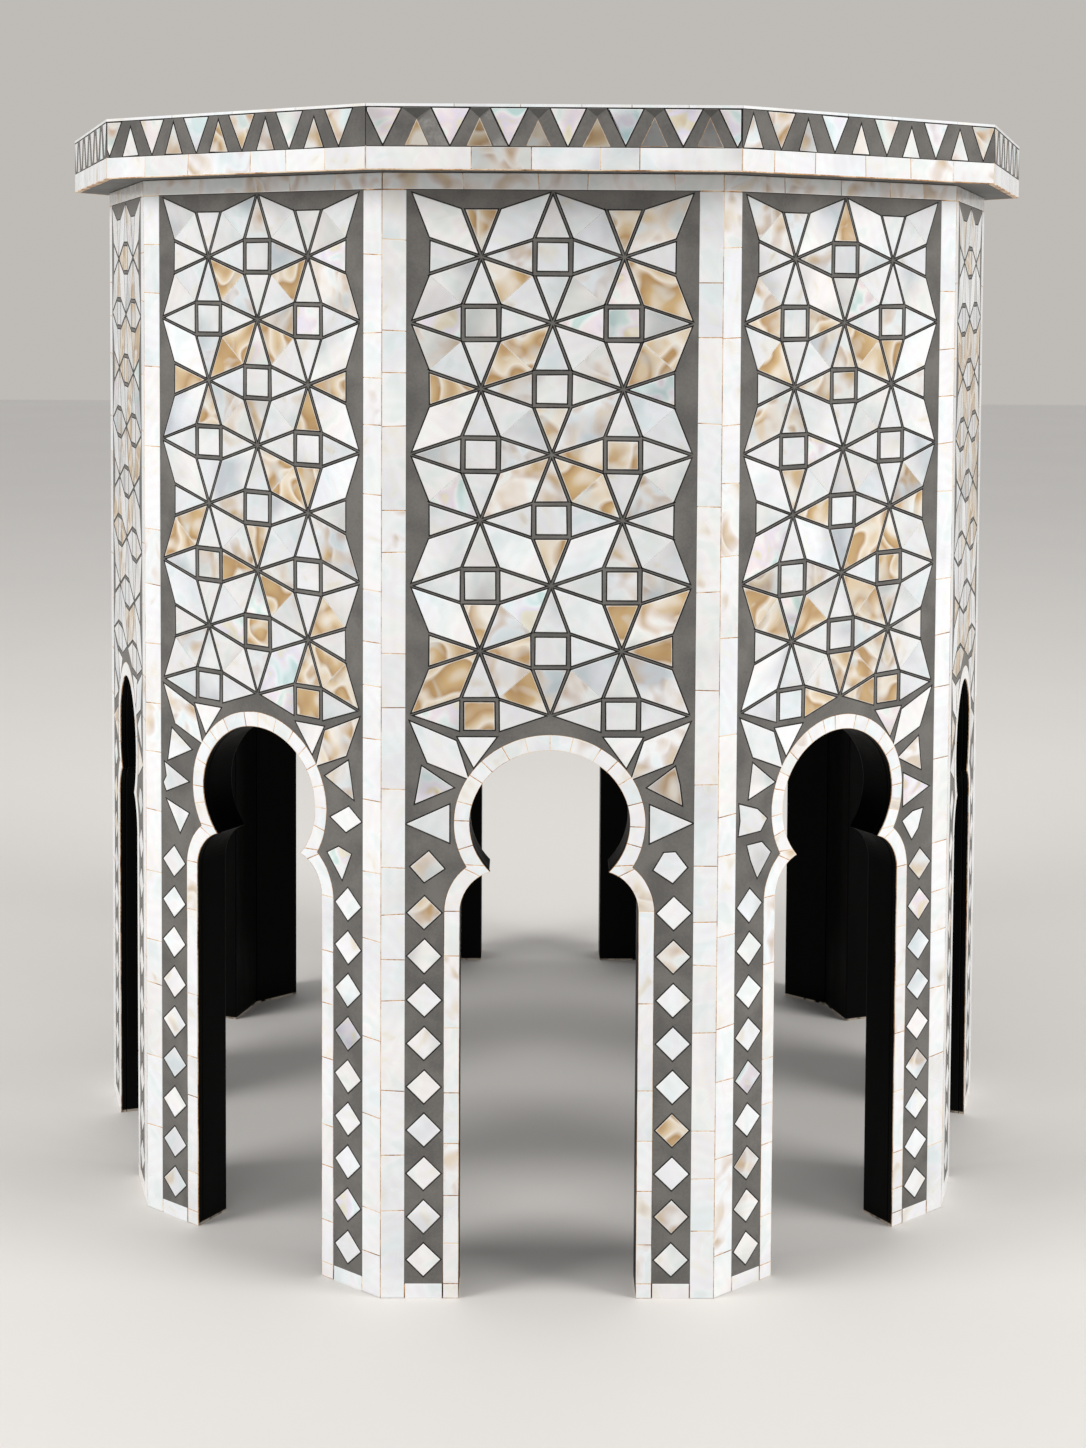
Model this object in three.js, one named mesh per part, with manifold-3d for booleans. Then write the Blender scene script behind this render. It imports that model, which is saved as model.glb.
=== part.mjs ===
// A ten-sided kursi stool: a drum of arched, mitred side boards under an overhanging top,
// faced with mother-of-pearl pieces set in grey resin. Units are millimetres and +Z is up.
// The origin lies on the floor under the middle of the drum. Side 1 faces -Y.

import * as THREE from "three";
import { mergeVertices } from "three/addons/utils/BufferGeometryUtils.js";
import Module from "manifold-3d";

const wasm = await Module();
wasm.setup();

// Whole stool, with the drum's width taken across its flats
const sideCount = 10;
const drumWidth = 440;
const overallHeight = 508;
const topThickness = 27;
const topOverhang = 17.2;
const touchGap = 0.3;
const cutOverrun = 4;

// Wall of the drum, from the room inwards
const skinThickness = 2.7;
const pearlThickness = 1.2;
const pearlRise = 0.4;
const boardThickness = 15.5;

// Top and the ring that ties it to the drum
const topSkinThickness = 1.2;
const ringWidth = 38;
const ringThickness = 15;

// Keyhole opening of each side
const openingWidth = 76;
const springHeight = 168;
const shoulderRadius = 18;
const neckWidth = 50.4;
const bulbWidth = 68;
const bulbHeight = 62.4;
const archTrimWidth = 6.7;

// Straight pearl strips round the field of each side
const cornerStripWidth = 10;
const headStripHeight = 7;
const footStripHeight = 6.4;

// Star mosaic above the opening
const starSetback = 1.4;
const starRowHeight = 27.7;
const resinLineWidth = 1.65;
const squareWidth = 12.5;
const squareHeight = 11.5;
const squareFrameWidth = 2.45;

// Diamonds down the legs
const diamondSize = 14.2;
const diamondPitch = 18.85;
const firstDiamondHeight = 16.9;

// Edge of the top
const edgeStripHeight = 9.7;
const edgeTriangleWidth = 14.3;
const edgeTriangleHeight = 14.9;
const edgeTriangleEndMargin = 7;
const edgeTriangleHeadroom = 0.3;
const edgeTriangleCount = 7;

// Steps along the round stretches of the opening
const shoulderSteps = 3;
const bulbSteps = 7;

// Angles and planes worked out from the sizes above
const sideAngle = (2 * Math.PI) / sideCount;
const mitreAngle = sideAngle / 2;
const drumApothem = drumWidth / 2;
const topApothem = drumApothem + topOverhang;
const topUnderside = overallHeight - topThickness;
const wallTop = topUnderside - touchGap;
const skinBack = drumApothem - skinThickness;
const boardFront = skinBack - touchGap;
const boardBack = boardFront - boardThickness;
const groundThickness = skinThickness - pearlRise;

// Materials
const pearl = new THREE.MeshStandardMaterial({ color: 0xe9e4dc, roughness: 0.22, metalness: 0 });
const resin = new THREE.MeshStandardMaterial({ color: 0x6c6965, roughness: 0.5, metalness: 0 });
const blackPaint = new THREE.MeshStandardMaterial({ color: 0x0b0b0b, roughness: 0.35, metalness: 0 });
const greyPaint = new THREE.MeshStandardMaterial({ color: 0x5f5c58, roughness: 0.5, metalness: 0 });

// Half the width that a side has at a distance from the drum's axis, less its share of the gap
// at the mitre.
function halfWidthAt(distance) {
  return distance * Math.tan(mitreAngle) - touchGap / 2 / Math.cos(mitreAngle);
}

// A flat plate cut to an outline. It lies in the outline's plane, from zero up to its thickness.
function plate(outline, thickness) {
  const shape = new THREE.Shape(outline);
  return new THREE.ExtrudeGeometry(shape, { depth: thickness, bevelEnabled: false, steps: 1 });
}

function solidFrom(geometry) {
  const bare = geometry.clone();
  bare.deleteAttribute("normal");
  bare.deleteAttribute("uv");
  const merged = mergeVertices(bare);
  const mesh = new wasm.Mesh({
    numProp: 3,
    vertProperties: merged.attributes.position.array,
    triVerts: new Uint32Array(merged.index.array),
  });
  return new wasm.Manifold(mesh);
}

function geometryFrom(solid) {
  const mesh = solid.getMesh();
  const geometry = new THREE.BufferGeometry();
  geometry.setAttribute("position", new THREE.BufferAttribute(mesh.vertProperties, 3));
  geometry.setIndex(new THREE.BufferAttribute(mesh.triVerts, 1));
  const faceted = geometry.toNonIndexed();
  faceted.computeVertexNormals();
  return faceted;
}

// Leans the two upright ends of a plate so that it meets its neighbours in a mitre. The plate is
// drawn as wide as its front, and its back lies at the given distance from the drum's axis.
function mitred(geometry, back, thickness) {
  const end = halfWidthAt(back + thickness);
  const position = geometry.attributes.position;
  const tolerance = touchGap / 100;
  for (let i = 0; i < position.count; i += 1) {
    const x = position.getX(i);
    if (Math.abs(Math.abs(x) - end) < tolerance) {
      position.setX(i, Math.sign(x) * halfWidthAt(back + position.getZ(i)));
    }
  }
  return geometry;
}

// Raises pearl pieces on a resin plate. Their shapes are trimmed to the given outline.
function inlaid(ground, shapes, outline) {
  const bed = new THREE.Matrix4().makeTranslation(0, 0, skinThickness - pearlThickness);
  const limit = solidFrom(plate(outline, skinThickness + cutOverrun));
  const base = solidFrom(ground);
  const raise = (body, shape) => {
    const piece = solidFrom(plate(shape, pearlThickness).applyMatrix4(bed));
    return body.add(piece.intersect(limit));
  };
  return geometryFrom(shapes.reduce(raise, base));
}

// The keyhole opening: straight jambs, round shoulders that lean in to a neck, and a bulb above.
const shoulderCentreX = openingWidth / 2 - shoulderRadius;
const neckOffset = neckWidth / 2 - shoulderCentreX;
const neckHeight = springHeight + Math.sqrt(shoulderRadius ** 2 - neckOffset ** 2);
const neckShare = neckWidth / bulbWidth;
const bulbCentreHeight = neckHeight + (bulbHeight / 2) * Math.sqrt(1 - neckShare ** 2);

// Where the shoulder and the bulb meet, on a line that lies a distance outside the opening.
function neckHalfWidth(distance) {
  const shoulder = shoulderRadius + distance;
  const bulbX = bulbWidth / 2 + distance;
  const bulbZ = bulbHeight / 2 + distance;
  const shoulderLevel = (x) => springHeight + Math.sqrt(shoulder ** 2 - (x - shoulderCentreX) ** 2);
  const bulbLevel = (x) => bulbCentreHeight - bulbZ * Math.sqrt(1 - (x / bulbX) ** 2);
  let low = neckWidth / 2;
  let high = Math.min(bulbX, shoulderCentreX + shoulder);
  for (let halving = 0; halving < 50; halving += 1) {
    const middle = (low + high) / 2;
    if (shoulderLevel(middle) > bulbLevel(middle)) {
      low = middle;
    } else {
      high = middle;
    }
  }
  return low;
}

// A line round the opening, a distance outside it, from the foot of the right jamb over the crown
// to the foot of the left one.
function archLine(distance, foot) {
  const shoulder = shoulderRadius + distance;
  const bulbX = bulbWidth / 2 + distance;
  const bulbZ = bulbHeight / 2 + distance;
  const neckX = neckHalfWidth(distance);
  const shoulderEnd = Math.acos((neckX - shoulderCentreX) / shoulder);
  const bulbStart = -Math.acos(neckX / bulbX);
  const shoulderArc = new THREE.EllipseCurve(
    shoulderCentreX, springHeight, shoulder, shoulder, 0, shoulderEnd,
  );
  const bulbArc = new THREE.EllipseCurve(0, bulbCentreHeight, bulbX, bulbZ, bulbStart, Math.PI / 2);
  const right = [
    new THREE.Vector2(openingWidth / 2 + distance, foot),
    ...shoulderArc.getPoints(shoulderSteps).slice(0, -1),
    ...bulbArc.getPoints(bulbSteps),
  ];
  const left = right.slice(0, -1).reverse().map((point) => new THREE.Vector2(-point.x, point.y));
  return [...right, ...left];
}

// A rectangle that stands over the opening, with the keyhole cut up into it.
function archedOutline(halfWidth, foot, head, distance) {
  return [
    new THREE.Vector2(halfWidth, foot),
    new THREE.Vector2(halfWidth, head),
    new THREE.Vector2(-halfWidth, head),
    new THREE.Vector2(-halfWidth, foot),
    ...archLine(distance, foot).reverse(),
  ];
}

// Side board: the wooden stave that carries everything else on its side.
function sideBoard() {
  const outline = archedOutline(halfWidthAt(boardFront), 0, wallTop, 0);
  return mitred(plate(outline, boardThickness), boardBack, boardThickness);
}

// Pearl strips along both corners, under the top and across both feet, as one frame.
const frameHalfWidth = halfWidthAt(drumApothem);
const stripInnerX = frameHalfWidth - cornerStripWidth;
const headStripBottom = wallTop - headStripHeight;
const trimOuterX = openingWidth / 2 + archTrimWidth;

function sideFrame() {
  const footInnerX = trimOuterX + touchGap;
  const rightFoot = [
    new THREE.Vector2(stripInnerX, footStripHeight),
    new THREE.Vector2(footInnerX, footStripHeight),
    new THREE.Vector2(footInnerX, 0),
    new THREE.Vector2(frameHalfWidth, 0),
  ];
  const leftFoot = rightFoot.map((point) => new THREE.Vector2(-point.x, point.y)).reverse();
  const outline = [
    ...rightFoot,
    new THREE.Vector2(frameHalfWidth, wallTop),
    new THREE.Vector2(-frameHalfWidth, wallTop),
    ...leftFoot,
    new THREE.Vector2(-stripInnerX, headStripBottom),
    new THREE.Vector2(stripInnerX, headStripBottom),
  ];
  return mitred(plate(outline, skinThickness), skinBack, skinThickness);
}

// Pearl band round the opening, from the floor over the crown and down again.
function archTrim() {
  const outline = [...archLine(archTrimWidth, 0), ...archLine(0, 0).reverse()];
  return plate(outline, skinThickness);
}

// Field of grey resin inside the frame, with the mosaic raised on it.
const fieldHalfWidth = stripInnerX - touchGap;
const fieldFoot = footStripHeight + touchGap;
const fieldHead = headStripBottom - touchGap;
const fieldArchDistance = archTrimWidth + touchGap;
const crownHeight = bulbCentreHeight + bulbHeight / 2 + archTrimWidth;

// Stars sit on every second crossing of a grid of columns and rows, and framed squares, a little
// wider than high, on the others. The kites between them stand proud. The squares and their
// triangles lie level in the four-pointed gaps that the kites leave.
const columnStep = (fieldHalfWidth - starSetback) / 2;
const outerColumn = 2;
const lastStarRow = Math.floor((fieldHead - crownHeight) / starRowHeight);
const frameReachX = squareWidth / 2 + squareFrameWidth - resinLineWidth / 2;
const frameReachZ = squareHeight / 2 + squareFrameWidth - resinLineWidth / 2;

function crossing(column, row) {
  return new THREE.Vector2(column * columnStep, fieldHead - row * starRowHeight);
}

function offsetFrom(point, x, y) {
  return new THREE.Vector2(point.x + x, point.y + y);
}

// Draws the sides of a convex piece in by half a resin line.
function drawnIn(points) {
  const margin = resinLineWidth / 2;
  const turn = Math.sign(THREE.ShapeUtils.area(points));
  const edges = points.map((start, i) => {
    const end = points[(i + 1) % points.length];
    const along = end.clone().sub(start).normalize();
    const inwards = new THREE.Vector2(-along.y, along.x).multiplyScalar(turn * margin);
    return { start: start.clone().add(inwards), along };
  });
  return edges.map((edge, i) => {
    const before = edges[(i + edges.length - 1) % edges.length];
    const between = edge.start.clone().sub(before.start);
    const reach = between.cross(edge.along) / before.along.cross(edge.along);
    return before.start.clone().addScaledVector(before.along, reach);
  });
}

// The kite between two stars that lie a column and a row apart: its blunt corners touch the
// frames of the two squares beside it.
function kite(column, row) {
  const starsFall = (column + row) % 2 === 0;
  const upper = crossing(starsFall ? column : column + 1, row);
  const lower = crossing(starsFall ? column + 1 : column, row + 1);
  const upperSquare = crossing(starsFall ? column + 1 : column, row);
  const lowerSquare = crossing(starsFall ? column : column + 1, row + 1);
  const lean = starsFall ? 1 : -1;
  return drawnIn([
    upper,
    offsetFrom(upperSquare, -lean * frameReachX, -frameReachZ),
    lower,
    offsetFrom(lowerSquare, lean * frameReachX, frameReachZ),
  ]);
}

function diamondAt(centre) {
  const half = diamondSize / 2;
  return [
    offsetFrom(centre, 0, -half),
    offsetFrom(centre, half, 0),
    offsetFrom(centre, 0, half),
    offsetFrom(centre, -half, 0),
  ];
}

function mosaicShapes() {
  const shapes = [];
  for (let row = 0; row <= lastStarRow; row += 1) {
    for (let column = -outerColumn; column < outerColumn; column += 1) {
      const overArch = row === lastStarRow && Math.abs(column + 0.5) < 1;
      if (!overArch) {
        shapes.push(kite(column, row));
      }
    }
  }
  const legMiddle = (trimOuterX + stripInnerX) / 2;
  const diamondSteps = Math.round((neckHeight - firstDiamondHeight) / diamondPitch);
  for (let step = 0; step <= diamondSteps; step += 1) {
    const height = firstDiamondHeight + step * diamondPitch;
    shapes.push(diamondAt(new THREE.Vector2(-legMiddle, height)));
    shapes.push(diamondAt(new THREE.Vector2(legMiddle, height)));
  }
  return shapes;
}

function sideInlay() {
  const fieldOutline = archedOutline(fieldHalfWidth, fieldFoot, fieldHead, fieldArchDistance);
  const limitOutline = archedOutline(
    fieldHalfWidth - resinLineWidth / 2,
    fieldFoot,
    fieldHead - resinLineWidth,
    fieldArchDistance + resinLineWidth / 2,
  );
  return inlaid(plate(fieldOutline, groundThickness), mosaicShapes(), limitOutline);
}

// Edge of the top: a pearl strip below a row of triangles that hang from the upper arris.
function edgeInlay() {
  const end = halfWidthAt(topApothem);
  const head = topThickness - topSkinThickness - touchGap;
  const rectangle = (foot, top) => [
    new THREE.Vector2(-end, foot),
    new THREE.Vector2(end, foot),
    new THREE.Vector2(end, top),
    new THREE.Vector2(-end, top),
  ];
  const triangleTop = head - edgeTriangleHeadroom;
  const firstMiddle = edgeTriangleEndMargin - end;
  const pitch = (2 * (end - edgeTriangleEndMargin)) / (edgeTriangleCount - 1);
  const triangles = Array.from({ length: edgeTriangleCount }, (_, i) => {
    const middle = firstMiddle + i * pitch;
    return [
      new THREE.Vector2(middle, triangleTop - edgeTriangleHeight),
      new THREE.Vector2(middle + edgeTriangleWidth / 2, triangleTop),
      new THREE.Vector2(middle - edgeTriangleWidth / 2, triangleTop),
    ];
  });
  const shapes = [rectangle(0, edgeStripHeight), ...triangles];
  const raised = inlaid(plate(rectangle(0, head), groundThickness), shapes, rectangle(0, head));
  return mitred(raised, topApothem - skinThickness, skinThickness);
}

// Level ten-sided pieces of the top, centred on the drum's axis with a flat towards side 1.
function tenSided(apothem) {
  const radius = apothem / Math.cos(mitreAngle);
  return Array.from({ length: sideCount }, (_, i) => {
    const angle = (i + 0.5) * sideAngle;
    return new THREE.Vector2(radius * Math.sin(angle), -radius * Math.cos(angle));
  });
}

function topRing() {
  const outer = boardBack - touchGap;
  const shape = new THREE.Shape(tenSided(outer));
  shape.holes.push(new THREE.Path(tenSided(outer - ringWidth)));
  return new THREE.ExtrudeGeometry(shape, { depth: ringThickness, bevelEnabled: false, steps: 1 });
}

const stool = new THREE.Group();
stool.name = "kursi_stool";

function addLevel(name, geometry, material, height) {
  const mesh = new THREE.Mesh(geometry, material);
  mesh.name = name;
  mesh.position.z = height;
  stool.add(mesh);
}

const boardTopThickness = topThickness - topSkinThickness - touchGap;
const boardTopApothem = topApothem - skinThickness - touchGap;
addLevel("top_board", plate(tenSided(boardTopApothem), boardTopThickness), greyPaint, topUnderside);
const topSkin = plate(tenSided(topApothem), topSkinThickness);
addLevel("top_inlay", topSkin, pearl, overallHeight - topSkinThickness);
addLevel("top_ring", topRing(), blackPaint, wallTop - ringThickness);

// The pieces that every side repeats, each with the distance of its back from the drum's axis and
// the height of its foot.
const sidePieces = [
  { name: "side_board", geometry: sideBoard(), material: blackPaint, back: boardBack, foot: 0 },
  { name: "side_inlay", geometry: sideInlay(), material: resin, back: skinBack, foot: 0 },
  { name: "side_frame", geometry: sideFrame(), material: pearl, back: skinBack, foot: 0 },
  { name: "arch_trim", geometry: archTrim(), material: pearl, back: skinBack, foot: 0 },
  {
    name: "edge_inlay",
    geometry: edgeInlay(),
    material: resin,
    back: topApothem - skinThickness,
    foot: topUnderside,
  },
];

for (let i = 0; i < sideCount; i += 1) {
  const side = new THREE.Group();
  side.rotation.z = i * sideAngle;
  for (const piece of sidePieces) {
    const mesh = new THREE.Mesh(piece.geometry, piece.material);
    mesh.name = `${piece.name}_${String(i + 1).padStart(2, "0")}`;
    mesh.rotation.x = Math.PI / 2;
    mesh.position.set(0, -piece.back, piece.foot);
    side.add(mesh);
  }
  stool.add(side);
}

export default stool;
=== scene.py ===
"""Dresses the ten-sided kursi stool: slips of shell in grey resin over black boards."""
import math
import random

import bpy
from mathutils import Matrix, Vector


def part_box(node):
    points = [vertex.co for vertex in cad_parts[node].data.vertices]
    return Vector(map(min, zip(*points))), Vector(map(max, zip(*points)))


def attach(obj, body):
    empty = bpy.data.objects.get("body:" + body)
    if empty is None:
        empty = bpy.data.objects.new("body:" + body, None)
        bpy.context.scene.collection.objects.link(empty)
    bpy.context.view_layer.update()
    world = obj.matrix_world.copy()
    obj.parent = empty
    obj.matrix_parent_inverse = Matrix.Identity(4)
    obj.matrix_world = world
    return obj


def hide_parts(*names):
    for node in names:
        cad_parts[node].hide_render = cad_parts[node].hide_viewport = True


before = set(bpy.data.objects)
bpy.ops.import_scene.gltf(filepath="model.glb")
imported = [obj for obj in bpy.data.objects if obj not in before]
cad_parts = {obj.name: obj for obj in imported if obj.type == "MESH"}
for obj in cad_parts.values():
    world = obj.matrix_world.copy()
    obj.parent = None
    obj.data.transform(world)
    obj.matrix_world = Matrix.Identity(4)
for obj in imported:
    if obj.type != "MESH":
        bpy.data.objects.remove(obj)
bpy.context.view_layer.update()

# Lengths in this script are millimetres until a mesh is made of them
MM = 0.001
SIDES = 10
TURN = 2 * math.pi / SIDES
MITRE = TURN / 2


def frame_box(node):
    """Lowest and highest corner of a CAD node, in millimetres."""
    low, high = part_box(node)
    return Vector(low) / MM, Vector(high) / MM


# Planes and heights taken from the frame
board_low, board_high = frame_box("side_board_01")
strip_low, strip_high = frame_box("side_frame_01")
edge_low, edge_high = frame_box("edge_inlay_01")
top_low, top_high = frame_box("top_inlay")
BOARD_FRONT, BOARD_BACK = -board_low.y, -board_high.y
PEARL_FRONT, SKIN_BACK = -strip_low.y, -strip_high.y
TOP_APOTHEM, EDGE_BACK = -edge_low.y, -edge_high.y
WALL_TOP = board_high.z
TOP_UNDERSIDE, EDGE_HEAD = edge_low.z, edge_high.z
TOP_SKIN_FOOT, TOP_FACE = top_low.z, top_high.z

# How the shell lies in the resin
SHELL_THICKNESS = 1.2
RESIN_DROP = 0.12
GLUE_DROP = 0.07
RIM_WIDTH = 0.26
RIM_DROP = 0.09
BED_INSET = 0.35
OUTLINE_WIDTH = 0.6
OUTLINE_LIFT = 0.03
CORNER_GAP = 0.32
GLUE_GAP = 0.04

# Keyhole opening
OPENING_HALF = 38.0
SPRING_HEIGHT = 168.0
SHOULDER_RADIUS = 18.0
NECK_HALF = 25.2
BULB_HALF = 34.0
BULB_RISE = 31.2
ARCH_BAND = 6.7
SHOULDER_STEPS = 12
BULB_STEPS = 40
BULB_SLIPS = 8
LEAST_STEP = 0.35
SAME_POINT = 0.05

# Strips round the field
CORNER_STRIP = 10.0
HEAD_STRIP = 7.0
FOOT_STRIP = 6.4
JOINT = 0.3
SLIP_LENGTHS = (17.0, 43.0)

# Mosaic
FIELD_GAP = 0.05
STAR_SETBACK = 1.4
ROW_HEIGHT = 27.7
LINE = 1.65
SQUARE_WIDTH = 12.5
SQUARE_HEIGHT = 11.5
SQUARE_FRAME = 2.45
DIAMOND = 14.2
DIAMOND_PITCH = 18.85
FIRST_DIAMOND = 16.9
REGULAR_DIAMONDS = 9
LAST_ROW = 8

# Edge of the top, with the middles of its hanging triangles as shares of a side
EDGE_STRIP = 9.7
EDGE_TRIANGLE_WIDTH = 14.3
EDGE_TRIANGLE_HEIGHT = 14.9
EDGE_HEADROOM = 0.3
GLUE_SILL = 0.4
EDGE_SHARES = {
    1: (0.046, 0.224, 0.380, 0.537, 0.690, 0.843, 0.988),
    2: (0.139, 0.342, 0.545, 0.748, 0.951),
    10: (0.012, 0.191, 0.370, 0.549, 0.728, 0.907),
}
OTHER_EDGE_SHARES = (0.05, 0.23, 0.41, 0.59, 0.77, 0.95)
# Warmth and light of the dim standing triangles on side 1
DIM_LOOKS = [(0.95, 0.62), (0.72, 0.40), (0.72, 0.34), (1.0, 0.44), (0.40, 0.05), (0.35, 0.03)]
SAW_CUT = (0.3, 1.6)
# Ends of side 1's slips under its triangles, as shares of the side. The second slip is olive
EDGE_SLIP_SHARES = (0.0, 0.28, 0.44, 0.624, 0.728, 1.0)
OLIVE_SLIP = 1
# Its warmth, light, rim and calm
OLIVE_LOOK = (0.48, 0.66, 0.0, 0.3)

rng = random.Random(3581)


def half_width(distance, gap=CORNER_GAP):
    """Half a side's width at a distance from the axis, less its share of the corner joint."""
    return distance * math.tan(MITRE) - gap / 2 / math.cos(MITRE)


# Materials
def new_material(name):
    material = bpy.data.materials.new(name)
    material.use_nodes = True
    tree = material.node_tree
    return material, tree, tree.nodes["Principled BSDF"]


def add(tree, kind, inputs=None, **settings):
    """A node with its settings made and its inputs set or linked."""
    node = tree.nodes.new(kind)
    for key, value in settings.items():
        setattr(node, key, value)
    for key, value in (inputs or {}).items():
        if isinstance(value, bpy.types.NodeSocket):
            tree.links.new(value, node.inputs[key])
        else:
            node.inputs[key].default_value = value
    return node


def ramp(tree, factor, stops):
    """A colour ramp whose stops are (place, red, green, blue)."""
    node = add(tree, "ShaderNodeValToRGB", {"Fac": factor})
    elements = node.color_ramp.elements
    while len(elements) < len(stops):
        elements.new(0.5)
    for element, (place, *colour) in zip(elements, stops):
        element.position = place
        element.color = (*colour, 1.0)
    return node.outputs["Color"]


def mix(tree, factor, first, second, blend="MIX"):
    node = add(tree, "ShaderNodeMixRGB", {"Fac": factor, "Color1": first, "Color2": second})
    node.blend_type = blend
    return node.outputs["Color"]


def math_node(tree, operation, first, second):
    node = add(tree, "ShaderNodeMath", {0: first, 1: second}, operation=operation)
    return node.outputs["Value"]


def noise(tree, coordinates, scale, detail=3.0, distortion=0.0, roughness=0.5):
    node = add(
        tree,
        "ShaderNodeTexNoise",
        {
            "Vector": coordinates,
            "Scale": scale,
            "Detail": detail,
            "Distortion": distortion,
            "Roughness": roughness,
        },
    )
    return node.outputs["Fac"]


def remap(tree, value, low, high, to_low, to_high):
    node = add(
        tree,
        "ShaderNodeMapRange",
        {"Value": value, "From Min": low, "From Max": high, "To Min": to_low, "To Max": to_high},
    )
    return node.outputs["Result"]


# Calm runs from 0, iridescent, to 1, an even white. Coloured slips lie at this value
KITE_CALM = 0.3


def shell_material():
    """Mother-of-pearl. The mesh carries each slip's grain and look: warmth, light, rim and calm. The rim
    is a painted highlight on each slip's chamfer.
    """
    material, tree, shader = new_material("mother_of_pearl")
    grain = add(tree, "ShaderNodeAttribute", attribute_name="grain").outputs["Vector"]
    look = add(tree, "ShaderNodeAttribute", attribute_name="look").outputs
    parts = add(tree, "ShaderNodeSeparateColor", {"Color": look["Color"]}).outputs
    warmth, light, rim, calm = parts["Red"], parts["Green"], parts["Blue"], look["Alpha"]
    lustre = noise(tree, grain, 0.034, 1.5, 0.3)
    hue = noise(tree, grain, 0.02, 1.0, 0.3)
    play = noise(tree, grain, 0.085, 1.0, 0.6)
    folds = noise(tree, grain, 0.043, 1.0, 0.25)
    growth = add(
        tree,
        "ShaderNodeTexWave",
        {"Vector": grain, "Scale": 0.06, "Distortion": 5.0, "Detail": 2.0, "Detail Scale": 0.4},
    ).outputs["Fac"]
    white = ramp(
        tree,
        lustre,
        [
            (0.31, 0.56, 0.59, 0.62),
            (0.40, 0.74, 0.76, 0.775),
            (0.48, 0.87, 0.88, 0.89),
            (0.57, 0.935, 0.945, 0.955),
            (0.68, 0.96, 0.97, 0.98),
        ],
    )
    steady = mix(tree, remap(tree, calm, KITE_CALM, 1.0, 0.0, 0.9), white, (0.915, 0.925, 0.935, 1))
    tint = ramp(
        tree,
        hue,
        [
            (0.36, 0.92, 0.965, 1.0),
            (0.46, 0.975, 0.99, 1.0),
            (0.54, 1.0, 0.995, 0.98),
            (0.64, 1.0, 0.965, 0.92),
        ],
    )
    tinted = mix(tree, remap(tree, calm, 0.0, 1.0, 1.0, 0.35), steady, tint, "MULTIPLY")
    fire = ramp(
        tree,
        play,
        [
            (0.33, 0.44, 0.74, 0.69),
            (0.41, 0.78, 0.96, 0.92),
            (0.47, 1.0, 1.0, 1.0),
            (0.54, 0.98, 0.80, 0.86),
            (0.60, 0.84, 0.74, 0.93),
            (0.66, 0.86, 0.75, 0.48),
        ],
    )
    pale = mix(tree, remap(tree, calm, 0.0, KITE_CALM, 1.0, 0.16), tinted, fire, "MULTIPLY")
    tan = ramp(
        tree,
        folds,
        [
            (0.32, 0.86, 0.80, 0.71),
            (0.40, 0.61, 0.415, 0.185),
            (0.49, 0.44, 0.25, 0.08),
            (0.525, 0.84, 0.76, 0.64),
            (0.58, 0.69, 0.53, 0.32),
            (0.64, 0.48, 0.28, 0.10),
            (0.71, 0.70, 0.55, 0.36),
        ],
    )
    spread = math_node(tree, "ADD", warmth, math_node(tree, "MULTIPLY", play, 1.5))
    tan_share = remap(tree, spread, 1.08, 1.58, 0.0, 0.97)
    coloured = mix(tree, tan_share, pale, tan)
    lined = mix(tree, math_node(tree, "MULTIPLY", growth, 0.07), coloured, (0.62, 0.55, 0.48, 1))
    dimness = math_node(tree, "SUBTRACT", 1.0, light)
    # Where rim is set, on the chamfer, the colour is mixed halfway to near white: a painted highlight
    # along each slip's edge
    rim_highlighted = mix(tree, math_node(tree, "MULTIPLY", rim, 0.5), lined, (0.95, 0.94, 0.92, 1))
    lit = mix(tree, dimness, rim_highlighted, (0.20, 0.19, 0.18, 1), "MULTIPLY")
    tree.links.new(lit, shader.inputs["Base Color"])
    tree.links.new(remap(tree, folds, 0.3, 0.7, 0.17, 0.32), shader.inputs["Roughness"])
    bump = add(tree, "ShaderNodeBump", {"Height": growth, "Strength": 0.05, "Distance": 0.0002})
    tree.links.new(bump.outputs["Normal"], shader.inputs["Normal"])
    shader.inputs["Coat Weight"].default_value = 0.3
    shader.inputs["Coat Roughness"].default_value = 0.1
    return material


def resin_material(name, shades, cloud_scale, roughness):
    """Filled resin, sanded to a dull sheen, with clouds of the given shades and fine specks."""
    material, tree, shader = new_material(name)
    place = add(tree, "ShaderNodeTexCoord").outputs["Object"]
    clouds = noise(tree, place, cloud_scale, 3.0, 0.4)
    specks = noise(tree, place, 900.0, 2.0)
    tree.links.new(ramp(tree, mix(tree, 0.25, clouds, specks), shades), shader.inputs["Base Color"])
    rough = remap(tree, clouds, 0.3, 0.7, roughness - 0.07, roughness + 0.07)
    tree.links.new(rough, shader.inputs["Roughness"])
    bump = add(tree, "ShaderNodeBump", {"Height": specks, "Strength": 0.12, "Distance": 0.0001})
    tree.links.new(bump.outputs["Normal"], shader.inputs["Normal"])
    shader.inputs["Specular IOR Level"].default_value = 0.4
    return material


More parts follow.
